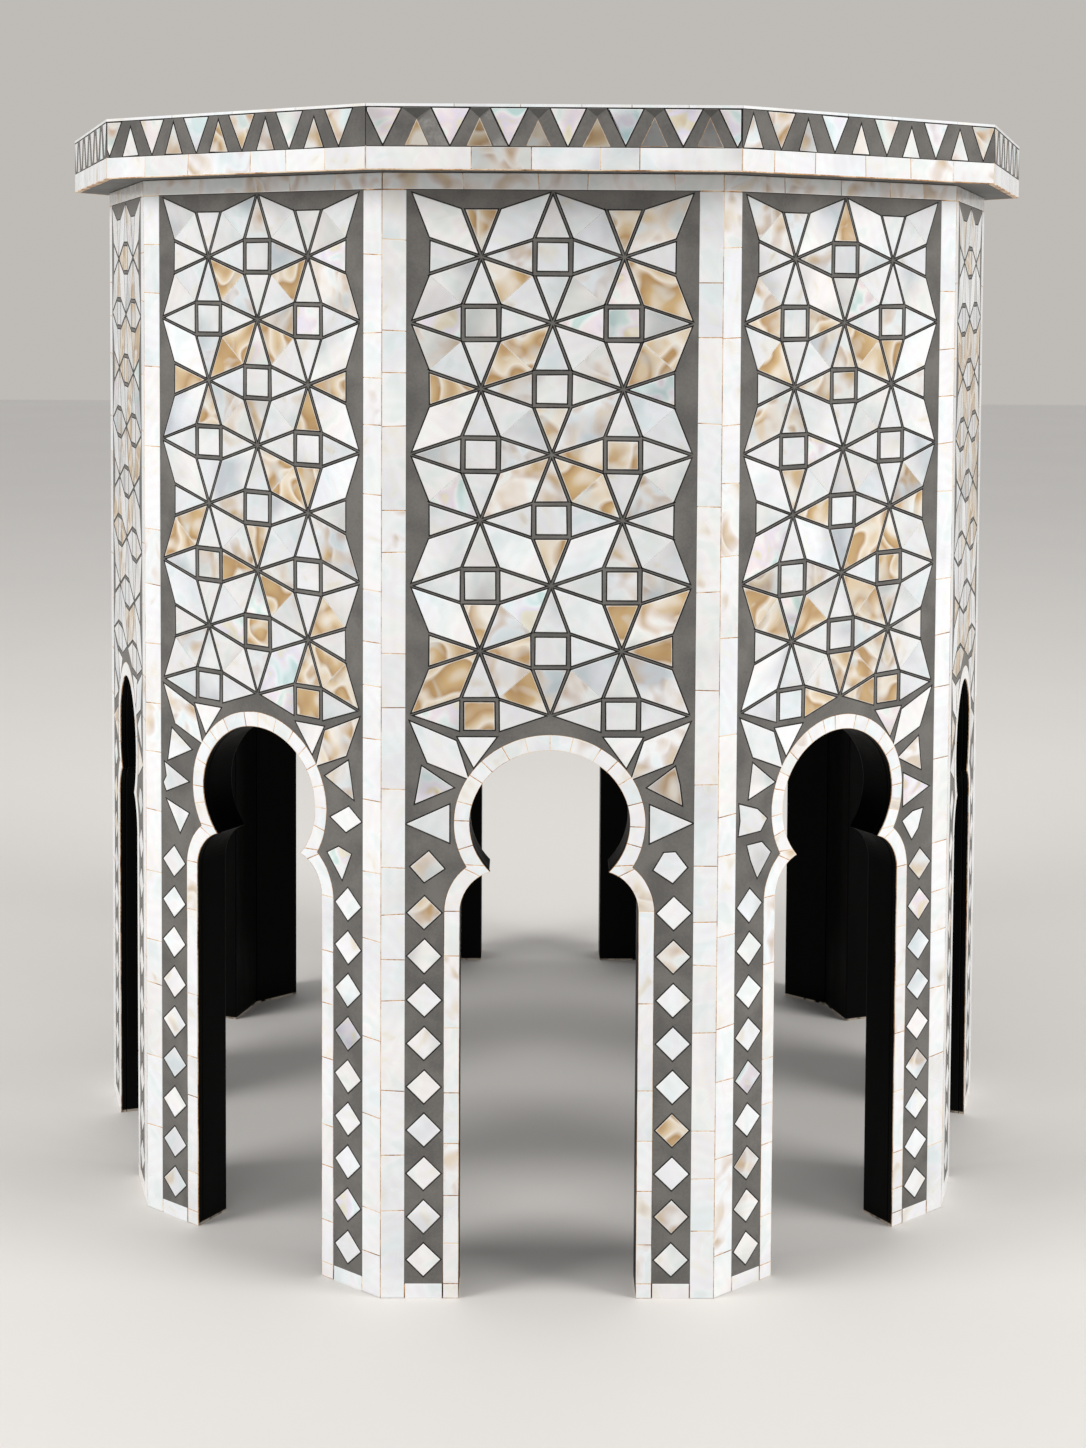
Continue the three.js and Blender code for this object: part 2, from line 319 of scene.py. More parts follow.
def paint_material():
    """Black satin paint on board, a little dusty, with brush marks and a foot rubbed bare."""
    material, tree, shader = new_material("black_satin_paint")
    place = add(tree, "ShaderNodeTexCoord").outputs["Object"]
    stretched = add(tree, "ShaderNodeMapping", {"Vector": place, "Scale": (1.0, 1.0, 0.12)})
    marks = noise(tree, stretched.outputs["Vector"], 160.0, 3.0)
    dust = noise(tree, place, 14.0, 4.0, 0.3)
    black = ramp(tree, dust, [(0.35, 0.0006, 0.0006, 0.0006), (0.70, 0.0016, 0.0015, 0.0014)])
    height = add(tree, "ShaderNodeSeparateXYZ", {"Vector": place}).outputs["Z"]
    rubbed = remap(tree, height, 0.0008, 0.0014, 1.0, 0.0)
    worn = math_node(tree, "MULTIPLY", rubbed, remap(tree, marks, 0.35, 0.5, 0.0, 1.0))
    tree.links.new(mix(tree, worn, black, (0.55, 0.47, 0.38, 1)), shader.inputs["Base Color"])
    tree.links.new(remap(tree, marks, 0.3, 0.7, 0.36, 0.5), shader.inputs["Roughness"])
    bump = add(tree, "ShaderNodeBump", {"Height": marks, "Strength": 0.15, "Distance": 0.0002})
    tree.links.new(bump.outputs["Normal"], shader.inputs["Normal"])
    shader.inputs["Specular IOR Level"].default_value = 0.07
    return material


SHELL = shell_material()
RESIN = resin_material(
    "grey_resin", [(0.38, 0.108, 0.103, 0.096), (0.62, 0.168, 0.160, 0.149)], 55.0, 0.5
)
LINE_RESIN = resin_material(
    "dark_resin_line",
    [(0.44, 0.004, 0.0035, 0.003), (0.56, 0.018, 0.017, 0.015), (0.66, 0.060, 0.056, 0.051)],
    160.0,
    0.55,
)
GLUE = resin_material(
    "amber_glue",
    [(0.38, 0.20, 0.09, 0.03), (0.46, 0.56, 0.29, 0.11), (0.57, 0.82, 0.66, 0.48)],
    70.0,
    0.45,
)
DARK_RESIN = resin_material(
    "dark_grey_resin", [(0.36, 0.062, 0.059, 0.055), (0.64, 0.088, 0.084, 0.079)], 38.0, 0.5
)
PALE_RESIN = resin_material(
    "pale_grey_resin", [(0.40, 0.175, 0.168, 0.158), (0.60, 0.29, 0.28, 0.265)], 90.0, 0.45
)
PAINT = paint_material()
GREY_PAINT = resin_material(
    "dark_grey_satin_paint", [(0.34, 0.045, 0.043, 0.040), (0.66, 0.085, 0.081, 0.075)], 24.0, 0.48
)


# Outlines
def area(points):
    """Signed area of an outline of (x, z) points, above zero where it turns left."""
    return sum(a[0] * b[1] - b[0] * a[1] for a, b in zip(points, points[1:] + points[:1])) / 2


def drawn_in(points, margin):
    """An outline with every side moved inwards by a margin, or outwards by a negative one."""
    count = len(points)
    lines = []
    for i, start in enumerate(points):
        end = points[(i + 1) % count]
        length = math.dist(start, end)
        along = ((end[0] - start[0]) / length, (end[1] - start[1]) / length)
        moved = (start[0] - along[1] * margin, start[1] + along[0] * margin)
        lines.append((moved, along))
    result = []
    for i, (start, along) in enumerate(lines):
        before_start, before = lines[i - 1]
        cross = before[0] * along[1] - before[1] * along[0]
        if abs(cross) < 1e-6:
            result.append(start)
            continue
        gap = (start[0] - before_start[0], start[1] - before_start[1])
        reach = (gap[0] * along[1] - gap[1] * along[0]) / cross
        result.append((before_start[0] + before[0] * reach, before_start[1] + before[1] * reach))
    return result


def clipped(points, inside):
    """The part of a convex outline where inside(point) is at least zero. inside is linear."""
    result = []
    for i, point in enumerate(points):
        before = points[i - 1]
        here, there = inside(point), inside(before)
        if (here >= 0) != (there >= 0):
            share = there / (there - here)
            result.append(tuple(b + (p - b) * share for p, b in zip(point, before)))
        if here >= 0:
            result.append(point)
    return [p for i, p in enumerate(result) if math.dist(p, result[i - 1]) > SAME_POINT]


def mirrored(points):
    """The outline on the other half of a side, still turning left."""
    return [(-x, z) for x, z in reversed(points)]


# Keyhole line
SHOULDER_CENTRE = OPENING_HALF - SHOULDER_RADIUS
NECK_HEIGHT = SPRING_HEIGHT + math.sqrt(SHOULDER_RADIUS**2 - (NECK_HALF - SHOULDER_CENTRE) ** 2)
BULB_CENTRE = NECK_HEIGHT + BULB_RISE * math.sqrt(1 - (NECK_HALF / BULB_HALF) ** 2)


def neck_half(distance):
    """Half the neck's width on a line that lies a distance outside the opening."""
    shoulder, half, rise = SHOULDER_RADIUS + distance, BULB_HALF + distance, BULB_RISE + distance
    low, high = NECK_HALF, min(half, SHOULDER_CENTRE + shoulder)
    for _ in range(50):
        middle = (low + high) / 2
        shoulder_level = SPRING_HEIGHT + math.sqrt(shoulder**2 - (middle - SHOULDER_CENTRE) ** 2)
        bulb_level = BULB_CENTRE - rise * math.sqrt(1 - (middle / half) ** 2)
        low, high = (middle, high) if shoulder_level > bulb_level else (low, middle)
    return low


def arch_line(distance, foot):
    """Points round the opening from the right jamb's foot over the crown to the left one's."""
    shoulder, half, rise = SHOULDER_RADIUS + distance, BULB_HALF + distance, BULB_RISE + distance
    neck = neck_half(distance)
    shoulder_end = math.acos((neck - SHOULDER_CENTRE) / shoulder)
    bulb_start = -math.acos(neck / half)
    right = [(OPENING_HALF + distance, foot)]
    for step in range(SHOULDER_STEPS):
        angle = shoulder_end * step / SHOULDER_STEPS
        x = SHOULDER_CENTRE + shoulder * math.cos(angle)
        right.append((x, SPRING_HEIGHT + shoulder * math.sin(angle)))
    for step in range(BULB_STEPS + 1):
        angle = bulb_start + (math.pi / 2 - bulb_start) * step / BULB_STEPS
        right.append((half * math.cos(angle), BULB_CENTRE + rise * math.sin(angle)))
    return right + [(-x, z) for x, z in reversed(right[:-1])]


def arched(half, foot, head, distance):
    """A rectangle with the keyhole cut up into it, turning left."""
    return [(half, foot), (half, head), (-half, head), (-half, foot)] + arch_line(distance, foot)[::-1]


# Pieces
PLAIN_LOOK = (0.0, 1.0, 0.0, 1.0)


def still(x, z):
    """Grain coordinates of a piece whose pattern needs no turning."""
    return (x, z, 0.0)


class Piece:
    """Faces of one piece. A point is (x, z, d): along a side, up, and out from the drum's axis."""

    def __init__(self, name, turn=0.0, mitred=False, level=False):
        self.name = name
        self.turn = Matrix.Rotation(turn, 3, "Z")
        self.mitred = mitred
        self.level = level
        self.materials = []
        self.points = []
        self.faces = []
        self.slots = []
        self.looks = []
        self.grains = []

    def slot_of(self, material):
        if material not in self.materials:
            self.materials.append(material)
        return self.materials.index(material)

    def place(self, x, z, d):
        """A point of the mesh in metres. A mitred piece stops at the mitre towards its neighbour."""
        if self.level:
            return Vector((x, z, d)) * MM
        if self.mitred:
            limit = half_width(d)
            x = max(-limit, min(limit, x))
        return self.turn @ Vector((x, -d, z)) * MM

    def ring(self, outline, d):
        first = len(self.points)
        self.points += [self.place(x, z, d) for x, z in outline]
        return list(range(first, first + len(outline)))

    def face(self, corners, outline, slot, look, grain):
        self.faces.append(corners)
        self.slots.append(slot)
        self.looks.append(look)
        self.grains.append([grain(x, z) for x, z in outline])

    def wall(self, outline, lower, upper, slot, look=PLAIN_LOOK, grain=still):
        """Faces between two rings that follow one outline."""
        for i in range(len(outline)):
            j = (i + 1) % len(outline)
            corners = [lower[i], lower[j], upper[j], upper[i]]
            self.face(corners, [outline[i], outline[j], outline[j], outline[i]], slot, look, grain)

    def plate(self, outline, back, front, material):
        """A plain closed plate."""
        slot = self.slot_of(material)
        lower, upper = self.ring(outline, back), self.ring(outline, front)
        self.wall(outline, lower, upper, slot)
        self.face(upper, outline, slot, PLAIN_LOOK, still)
        self.face(lower[::-1], outline[::-1], slot, PLAIN_LOOK, still)

    def slip(self, outline, front, look, thickness=SHELL_THICKNESS):
        """A slip of shell: a closed plate with a narrow chamfer round its face."""
        slot = self.slot_of(SHELL)
        grain = random_grain()
        inner = drawn_in(outline, RIM_WIDTH)
        lower = self.ring(outline, front - thickness)
        middle = self.ring(outline, front - RIM_DROP)
        upper = self.ring(inner, front)
        self.wall(outline, lower, middle, slot, look, grain)
        # The chamfer carries rim 1, which the shell turns into a painted highlight
        self.wall(outline, middle, upper, slot, (look[0], look[1], 1.0, look[3]), grain)
        self.face(upper, inner, slot, look, grain)
        self.face(lower[::-1], outline[::-1], slot, look, grain)

    def edging(self, outline, level, material=LINE_RESIN, width=OUTLINE_WIDTH):
        """A closed narrow band of dark resin or glue round a slip, just above the field."""
        slot = self.slot_of(material)
        outer = drawn_in(outline, -width)
        inner = drawn_in(outline, width)
        foot, head = level - OUTLINE_WIDTH, level + OUTLINE_LIFT
        corners = ((outer, foot), (outer, head), (inner, head), (inner, foot))
        rings = [self.ring(line, d) for line, d in corners]
        for lower, upper in zip(rings, rings[1:] + rings[:1]):
            self.wall(outline, lower, upper, slot)

    def bed(self, outline, back, front, material=RESIN, thickness=SHELL_THICKNESS, inset=BED_INSET):
        """Resin or paint under butted slips, and amber glue between them, drawn in by an inset."""
        middle = front - thickness
        self.plate(outline, back, middle, material)
        self.plate(drawn_in(outline, inset), middle - BED_INSET, front - GLUE_DROP, GLUE)

    def corner_glue(self, foot, head, back, front):
        """Amber glue in both corner joints, from the slips' ends to just short of the next side's."""
        slot = self.slot_of(GLUE)
        for way in (-1, 1):
            rings = []
            for d in (back, front - GLUE_DROP):
                near, far = way * half_width(d), way * half_width(d, GLUE_GAP)
                outline = [(near, foot), (far, foot), (far, head), (near, head)][::way]
                rings.append(range(len(self.points), len(self.points) + len(outline)))
                self.points += [self.turn @ Vector((x, -d, z)) * MM for x, z in outline]
            self.wall(outline, *rings, slot)
            self.face(list(rings[1]), outline, slot, PLAIN_LOOK, still)
            self.face(list(rings[0])[::-1], outline[::-1], slot, PLAIN_LOOK, still)

    def make(self, replaced):
        """The piece as a Blender object that rides on the root body."""
        mesh = bpy.data.meshes.new(self.name)
        mesh.from_pydata(self.points, [], self.faces)
        for material in self.materials:
            mesh.materials.append(material)
        mesh.polygons.foreach_set("material_index", self.slots)
        looks = mesh.attributes.new("look", "FLOAT_COLOR", "FACE")
        looks.data.foreach_set("color", [value for look in self.looks for value in look])
        grain = mesh.attributes.new("grain", "FLOAT_VECTOR", "CORNER")
        grain.data.foreach_set("vector", [v for corners in self.grains for c in corners for v in c])
        mesh.update()
        piece = bpy.data.objects.new(self.name, mesh)
        bpy.context.scene.collection.objects.link(piece)
        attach(piece, "root")
        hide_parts(replaced)
        return piece


def random_grain():
    """Coordinates for one slip's pattern: turned by chance and taken from anywhere."""
    spin = rng.uniform(0, 2 * math.pi)
    shift = [rng.uniform(-400, 400) for _ in range(3)]
    cosine, sine = math.cos(spin), math.sin(spin)
    return lambda x, z: (x * cosine - z * sine + shift[0], x * sine + z * cosine + shift[1], shift[2])


CREAM_CHANCE = 0.18
IRIDESCENT_CHANCE = 0.06
DIM_SLIP_AREAS = (110.0, 190.0)
IRIDESCENT_CALM = 0.15


def slip_look(points, tan):
    """Warmth, light, rim and calm of a slip of the mosaic. Squares and triangles are a little darker."""
    if tan:
        return (rng.uniform(0.72, 1.0), rng.uniform(0.88, 1.0), 0.0, KITE_CALM)
    dim = 0.15 if DIM_SLIP_AREAS[0] < area(points) < DIM_SLIP_AREAS[1] else 0.0
    draw = rng.random()
    if draw < CREAM_CHANCE:
        return (rng.uniform(0.34, 0.52), rng.uniform(0.88, 1.0) - dim, 0.0, KITE_CALM)
    if draw < CREAM_CHANCE + IRIDESCENT_CHANCE:
        return (rng.uniform(0.0, 0.3), rng.uniform(0.84, 0.96), 0.0, IRIDESCENT_CALM)
    return (rng.uniform(0.0, 0.15), rng.uniform(0.93, 1.0) - dim, 0.0, rng.choice((0.3, 0.7, 0.9)))


# Strips of butted slips. Their joints lean by up to SKEW at each end
SKEW = 0.3


def stretches(length):
    """Start and end of each slip along a strip."""
    places = [0.0]
    while length - places[-1] > SLIP_LENGTHS[1]:
        places.append(places[-1] + rng.uniform(*SLIP_LENGTHS))
    if length - places[-1] < SLIP_LENGTHS[0] and len(places) > 1:
        places[-1] = (places[-2] + length) / 2
    places.append(length)
    return [(a + JOINT / 2, b - JOINT / 2) for a, b in zip(places, places[1:])]


def strip_look():
    """The look of a strip's slip, which is more even than the mosaic's."""
    warmth = rng.uniform(0.24, 0.42) if rng.random() < 0.09 else rng.uniform(0.0, 0.12)
    return (warmth, rng.uniform(0.93, 1.0), 0.0, 0.88)


def painted_shade_look():
    """The look of a slip in the strip under the top, dimmer and a little yellow: painted shade from the
    overhang and a painted warm cast of light from the floor.
    """
    return (rng.uniform(0.33, 0.43), rng.uniform(0.82, 0.92), 0.0, 0.85)


def upright_strip(piece, left, right, foot, head, front):
    skews = []
    for low, high in stretches(head - foot):
        before = skews[-1] if skews else 0.0
        skews.append(rng.uniform(-SKEW, SKEW) if high < head - foot - JOINT else 0.0)
        outline = [
            (left, foot + low - before),
            (right, foot + low + before),
            (right, foot + high + skews[-1]),
            (left, foot + high - skews[-1]),
        ]
        piece.slip(outline, front, strip_look())


def level_strip(piece, left, right, foot, head, front, look=strip_look):
    before = 0.0
    for low, high in stretches(right - left):
        skew = rng.uniform(-SKEW, SKEW) if left + high < right - JOINT else 0.0
        outline = [
            (left + low - before, foot),
            (left + high - skew, foot),
            (left + high + skew, head),
            (left + low + before, head),
        ]
        piece.slip(outline, front, look())
        before = skew


strip_half = half_width(PEARL_FRONT)
field_edge = strip_half - CORNER_STRIP
head_foot = WALL_TOP - HEAD_STRIP
band_outer = OPENING_HALF + ARCH_BAND


def side_border(number, turn):
    """Slips along both corners, under the top and across the feet, on amber glue."""
    piece = Piece(f"side_border_{number}", turn, mitred=True)
    inner_foot = band_outer + JOINT
    right_foot = [(field_edge, FOOT_STRIP), (inner_foot, FOOT_STRIP), (inner_foot, 0), (strip_half, 0)]
    outline = right_foot + [(strip_half, WALL_TOP), (-strip_half, WALL_TOP)]
    outline += [(-x, z) for x, z in reversed(right_foot)]
    outline += [(-field_edge, head_foot), (field_edge, head_foot)]
    piece.bed(outline, SKIN_BACK, PEARL_FRONT)
    piece.corner_glue(0, WALL_TOP, SKIN_BACK, PEARL_FRONT)
    upright_strip(piece, field_edge, strip_half, 0, head_foot, PEARL_FRONT)
    upright_strip(piece, -strip_half, -field_edge, 0, head_foot, PEARL_FRONT)
    # The strip under the top carries painted shade and a painted warm cast of light
    level_strip(piece, -strip_half, strip_half, head_foot + JOINT, WALL_TOP, PEARL_FRONT, painted_shade_look)
    level_strip(piece, inner_foot, field_edge - JOINT, 0, FOOT_STRIP, PEARL_FRONT)
    level_strip(piece, -field_edge + JOINT, -inner_foot, 0, FOOT_STRIP, PEARL_FRONT)
    piece.make(f"side_frame_{number}")


def on_line(line, place):
    """A point on a line of points, at a place counted in steps."""
    index = min(int(place), len(line) - 2)
    share = place - index
    start, end = line[index], line[index + 1]
    return (start[0] + (end[0] - start[0]) * share, start[1] + (end[1] - start[1]) * share)


def span(line, start, end):
    """The stretch of a line between two places, without steps too short to draw in."""
    first, last = math.ceil(start + LEAST_STEP), math.floor(end - LEAST_STEP)
    return [on_line(line, start)] + line[first : last + 1] + [on_line(line, end)]


def facing_step(step):
    """The step round the opening's bulb that faces a step on the border's outer line."""
    inner_start, outer_start = (-math.acos(neck_half(d) / (BULB_HALF + d)) for d in (0, ARCH_BAND))
    angle = outer_start + (math.pi / 2 - outer_start) * step / BULB_STEPS
    return BULB_STEPS * (angle - inner_start) / (math.pi / 2 - inner_start)


def half_arch_joints(neck):
    """Joints from a foot up to the crown, as (place on the outer line, place on the inner line)."""
    jamb = [low / SPRING_HEIGHT for low, _ in stretches(SPRING_HEIGHT)][1:]
    places = [(place, place) for place in [0.0, FOOT_STRIP / SPRING_HEIGHT] + jamb]
    knee = 1 + rng.uniform(0.0, 1.5)
    places += [(knee, knee), (neck - 0.55, neck - 2.4), (neck + 0.55, neck + 1.9)]
    for i in range(1, BULB_SLIPS):
        step = BULB_STEPS * (i + rng.uniform(-0.2, 0.2)) / BULB_SLIPS
        places.append((neck + step, neck + facing_step(step)))
    return places


# The stave's black paint runs over the border's side, up to thin slips and a hairline of glue
ARCH_SHELL_THICKNESS = 0.55
ARCH_GLUE_INSET = 0.06


def arch_border(number, turn):
    """Slips round the opening: long ones on the jambs, a pointed one at each neck, short ones above."""
    piece = Piece(f"arch_border_{number}", turn)
    inner, outer = arch_line(0, 0), arch_line(ARCH_BAND, 0)
    bed = outer + inner[::-1]
    piece.bed(bed, SKIN_BACK, PEARL_FRONT, PAINT, ARCH_SHELL_THICKNESS, ARCH_GLUE_INSET)
    last, neck = len(inner) - 1, 1 + SHOULDER_STEPS
    right, left = half_arch_joints(neck), half_arch_joints(neck)
    crown = last / 2 + rng.uniform(-1.5, 1.5)
    joints = right + [(crown, crown)] + [(last - a, last - b) for a, b in reversed(left)]
    for (outer_start, inner_start), (outer_end, inner_end) in zip(joints, joints[1:]):
        outline = span(outer, outer_start, outer_end) + span(inner, inner_start, inner_end)[::-1]
        outline = drawn_in(outline, JOINT / 2)
        piece.slip(outline, PEARL_FRONT, strip_look(), thickness=ARCH_SHELL_THICKNESS)
    piece.make(f"arch_trim_{number}")


# Mosaic of a side
field_half = field_edge - FIELD_GAP
field_foot = FOOT_STRIP + FIELD_GAP
field_head = head_foot - FIELD_GAP
column_step = (field_half - STAR_SETBACK) / 2
frame_reach_x = SQUARE_WIDTH / 2 + SQUARE_FRAME - LINE / 2
frame_reach_z = SQUARE_HEIGHT / 2 + SQUARE_FRAME - LINE / 2


def crossing(column, row):
    return (column * column_step, field_head - row * ROW_HEIGHT)


def kite(column, row, at=crossing):
    """The kite between two stars a column and a row apart."""
    falls = (column + row) % 2 == 0
    upper = at(column if falls else column + 1, row)
    lower = at(column + 1 if falls else column, row + 1)
    upper_square = at(column + 1 if falls else column, row)
    lower_square = at(column if falls else column + 1, row + 1)
    lean = 1 if falls else -1
    points = [
        upper,
        (lower_square[0] + lean * frame_reach_x, lower_square[1] + frame_reach_z),
        lower,
        (upper_square[0] - lean * frame_reach_x, upper_square[1] - frame_reach_z),
    ]
    return points if area(points) > 0 else points[:1] + points[:0:-1]


def square_triangles(column, row, at=crossing):
    """The four triangles round a framed square, from its frame to the next stars."""
    x, z = at(column, row)
    across, up = frame_reach_x, frame_reach_z
    right, left = at(column + 1, row)[0], at(column - 1, row)[0]
    top, bottom = at(column, row - 1)[1], at(column, row + 1)[1]
    return {
        "right": [(x + across, z - up), (right, z), (x + across, z + up)],
        "left": [(x - across, z + up), (left, z), (x - across, z - up)],
        "up": [(x + across, z + up), (x, top), (x - across, z + up)],
        "down": [(x - across, z - up), (x, bottom), (x + across, z - up)],
    }


def square_at(x, z):
    across, up = SQUARE_WIDTH / 2, SQUARE_HEIGHT / 2
    return [(x - across, z - up), (x + across, z - up), (x + across, z + up), (x - across, z + up)]


def split_kite(points):
    """A kite as two slips, cut straight across from one blunt corner to the other."""
    tip, side, tail, other = points
    return [[tip, side, other], [side, tail, other]]


# Hand-cut slips over the arch on the right half, and beside it on both halves
OVER_ARCH_SLIPS = [
    [(34.6, 225.2), (51.8, 232.1), (59.1, 249.5), (39.8, 241.3)],
    [(32.3, 230.2), (39.0, 242.9), (22.9, 242.9)],
]
BESIDE_ARCH_SLIPS = {
    1: [
        [(41.4, 221.6), (56.0, 214.3), (54.9, 223.0), (53.0, 230.5)],
        [(-41.0, 221.4), (-54.2, 230.4), (-57.0, 214.6)],
        [(42.6, 197.9), (60.4, 206.4), (42.6, 214.0)],
        [(-42.6, 197.9), (-42.6, 214.0), (-60.6, 205.8)],
        [(44.3, 186.2), (52.4, 180.8), (58.4, 187.4), (53.4, 193.9), (48.6, 193.6)],
        [(-44.7, 186.6), (-51.2, 194.0), (-58.9, 187.5), (-53.1, 180.9)],
    ],
    2: [
        [(-39.0, 219.4), (-51.8, 229.3), (-54.0, 214.2)],
        [(38.0, 219.4), (53.0, 212.0), (51.0, 227.4)],
        [(-43.4, 204.2), (-49.0, 209.0), (-59.4, 212.6), (-58.6, 205.4), (-59.6, 199.0), (-47.0, 199.4)],
        [(41.6, 196.4), (58.2, 203.2), (41.6, 211.4)],
        [(-41.0, 189.0), (-46.2, 194.2), (-54.6, 194.0), (-52.4, 187.2), (-48.6, 179.2)],
        [(41.4, 189.4), (47.6, 180.2), (51.6, 184.6), (54.6, 193.4), (48.0, 192.8)],
    ],
    10: [
        [(-41.6, 221.4), (-54.0, 229.4), (-56.6, 214.6)],
        [(40.0, 221.6), (56.0, 213.8), (54.6, 222.0), (53.0, 230.0)],
        [(-43.6, 206.2), (-58.8, 213.0), (-57.6, 206.8), (-59.6, 203.6), (-57.8, 200.0)],
        [(43.2, 204.2), (51.8, 199.0), (60.4, 204.8), (53.4, 210.2)],
        [(-43.4, 191.6), (-57.4, 195.8), (-49.0, 182.0)],
        [(41.4, 188.4), (49.6, 178.0), (54.6, 189.8), (47.6, 191.8)],
    ],
}
# A spot in each slip cut from tan shell, on the sides in the photograph
TAN_SPOTS = {
    1: [
        (-29, 460), (29, 460), (-20, 437), (40, 437), (50, 428), (-10, 409), (-20, 400),
        (50, 409), (40, 400), (-45, 391), (0, 377), (14, 363), (30, 363), (10, 354), (20, 345),
        (0, 321), (-30, 294), (30, 294), (-45, 280), (-15, 280), (44, 280), (-40, 271),
        (-50, 262), (-10, 262), (-30, 253), (53, 74),
    ],
    2: [
        (0, 460), (-45, 418), (-15, 418), (-40, 400), (10, 409), (20, 400), (30, 405),
        (-15, 391), (-30, 349), (-15, 335), (44, 335), (20, 327), (10, 317), (30, 322),
        (30, 308), (-50, 299), (-40, 289), (-20, 289), (10, 299), (20, 289), (20, 271),
        (10, 262), (0, 266), (30, 252), (15, 252), (-15, 252),
    ],
    10: [
        (-20, 437), (20, 437), (-10, 409), (-20, 400), (10, 409), (-45, 391), (45, 391),
        (-30, 377), (30, 377), (10, 354), (20, 345), (30, 349), (0, 322), (-40, 327),
        (-50, 317), (-15, 308), (10, 299), (40, 289), (0, 280), (30, 266), (40, 271),
        (50, 262), (30, 252),
    ],
}
SPLIT_CHANCE = 0.5
HAND_JITTER = 0.14
REPEATED_ARCH_JITTER = 0.7
CUT_GAP = 0.05
# Chances of tan shell where no spot decides. A split kite's halves have the warm chance or the plain one
KITE_TAN = 0.17
WARM_KITE_CHANCE = 0.3
WARM_HALF_TAN = 0.7
PLAIN_HALF_TAN = 0.06
TRIANGLE_TAN = 0.3
SQUARE_TAN = 0.25
ARCH_SLIP_TAN = 0.1
DIAMOND_TAN = 0.08


def holds(points, spot):
    """Whether a spot lies inside a convex outline that turns left."""
    edges = zip(points, points[1:] + points[:1])
    return all((b[0] - a[0]) * (spot[1] - a[1]) >= (b[1] - a[1]) * (spot[0] - a[0]) for a, b in edges)


def spots_in(points, side):
    return sum(holds(points, spot) for spot in TAN_SPOTS.get(side, []))


def is_tan(points, side, tan_chance):
    """Whether a slip is of tan shell: by its spot on the seen sides, by chance elsewhere."""
    return spots_in(points, side) > 0 if side in TAN_SPOTS else rng.random() < tan_chance


def kite_slips(column, row, side=0, at=crossing):
    """A kite as one slip, or as two with their own tints."""
    points = jittered(drawn_in(kite(column, row, at), LINE / 2), HAND_JITTER)
    if rng.random() > SPLIT_CHANCE and spots_in(points, side) != 1:
        return [(points, KITE_TAN)]
    tan_chance = WARM_HALF_TAN if rng.random() < WARM_KITE_CHANCE else PLAIN_HALF_TAN
    return [(drawn_in(half, CUT_GAP / 2), tan_chance) for half in split_kite(points)]


def jittered(points, amount):
    return [(x + rng.uniform(-amount, amount), z + rng.uniform(-amount, amount)) for x, z in points]


def side_slips(side):
    """Every slip of a side's field, as (outline, chance of tan shell)."""
    slips = []
    for row in range(LAST_ROW):
        for column in range(-2, 2):
            slips += kite_slips(column, row, side)
    for row in range(LAST_ROW + 1):
        for column in range(-2, 3):
            if (column + row) % 2 == 0:
                continue
            wanted = {-2: {"right"}, 2: {"left"}}.get(column, {"right", "left", "up", "down"})
            if row == 0:
                wanted = wanted & {"down"}
            if row == LAST_ROW:
                wanted = wanted - {"down"}
            triangles = square_triangles(column, row)
            inner = [drawn_in(triangles[key], LINE / 2) for key in sorted(wanted)]
            slips += [(jittered(points, HAND_JITTER), TRIANGLE_TAN) for points in inner]
            if row > 0 and abs(column) < 2:
                square = square_at(*crossing(column, row))
                slips.append((jittered(square, HAND_JITTER), SQUARE_TAN))
    arch_jitter = 0.0 if side in BESIDE_ARCH_SLIPS else REPEATED_ARCH_JITTER
    arch_slips = [half for points in OVER_ARCH_SLIPS for half in (points, mirrored(points))]
    arch_slips += BESIDE_ARCH_SLIPS.get(side, BESIDE_ARCH_SLIPS[1])
    slips += [(jittered(points, arch_jitter), ARCH_SLIP_TAN) for points in arch_slips]
    reach, middle = DIAMOND / 2, (band_outer + field_edge) / 2
    for step in range(REGULAR_DIAMONDS):
        z = FIRST_DIAMOND + step * DIAMOND_PITCH
        for x in (-middle, middle):
            diamond = [(x, z - reach), (x + reach, z), (x, z + reach), (x - reach, z)]
            slips.append((jittered(diamond, HAND_JITTER), DIAMOND_TAN))
    return slips


def side_mosaic(number, turn, side):
    """The grey resin of a side with its mosaic."""
    piece = Piece(f"side_mosaic_{number}", turn)
    level = PEARL_FRONT - RESIN_DROP
    outline = arched(field_half, field_foot, field_head, ARCH_BAND + FIELD_GAP)
    piece.plate(outline, SKIN_BACK, level, RESIN)
    for points, tan_chance in side_slips(side):
        piece.slip(points, PEARL_FRONT, slip_look(points, is_tan(points, side, tan_chance)))
        piece.edging(points, level)
    piece.make(f"side_inlay_{number}")


STAVE_ARRIS = 0.6


def side_board(number, turn):
    """The black stave behind the inlay, with a smooth keyhole and softened arrises."""
    piece = Piece(f"stave_{number}", turn, mitred=True)
    outline = arched(half_width(BOARD_FRONT), 0, WALL_TOP, 0)
    piece.plate(outline, BOARD_BACK, BOARD_FRONT, PAINT)
    made = piece.make(f"side_board_{number}")
    arris = made.modifiers.new("arris", "BEVEL")
    arris.width = STAVE_ARRIS * MM
    arris.segments = 2
    arris.limit_method = "ANGLE"


DARK_EDGING = (LINE_RESIN, OUTLINE_WIDTH)
AMBER_EDGING = (GLUE, 0.12)
EDGE_JITTER = 0.2
# Ranges of the hanging triangles' widths, as shares of the usual one, and of how far their tips rise
HANGING_WIDTHS = (0.96, 1.06)
HANGING_TIPS = (-0.2, 0.5)
# Heights of side 1's standing triangles, and their half width as a share of that
DIM_RISES = (9.6, 11.6)
DIM_REACH = 0.47
# Heights and half widths of the other sides' standing triangles
STANDING_RISES = (12.2, 13.4)
STANDING_REACHES = (4.8, 5.4)
# How many bands of side 1, from the left, are of pale resin
PALE_BANDS = 2


